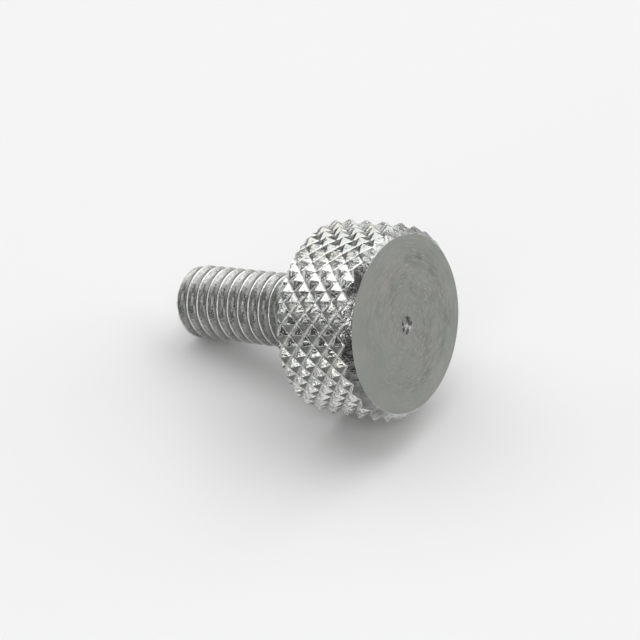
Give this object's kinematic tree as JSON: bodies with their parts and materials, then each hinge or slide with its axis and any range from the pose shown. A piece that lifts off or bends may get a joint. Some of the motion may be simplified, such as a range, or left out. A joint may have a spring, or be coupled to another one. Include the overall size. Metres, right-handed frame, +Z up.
{
  "type": "thumb screw",
  "caption": "Zinc-plated steel thumb screw with a flat, diamond-knurled round head and a short machine-threaded shank, turned by hand to close panels, covers and clamps.",
  "frame": {"origin": "on the surface the screw lies on, under the centre of its bounding box", "axes": "+Z up; the screw's axis lies in the XZ plane with its tip down towards -X and its end face up towards +X"},
  "size_m": [0.0152, 0.01, 0.0106],
  "materials": {
    "zinc_plated_steel": "bright zinc plating on turned steel, satin on the end face"
  },
  "bodies": {
    "root": {"thumb_screw": "zinc_plated_steel"}
  },
  "joints": []
}
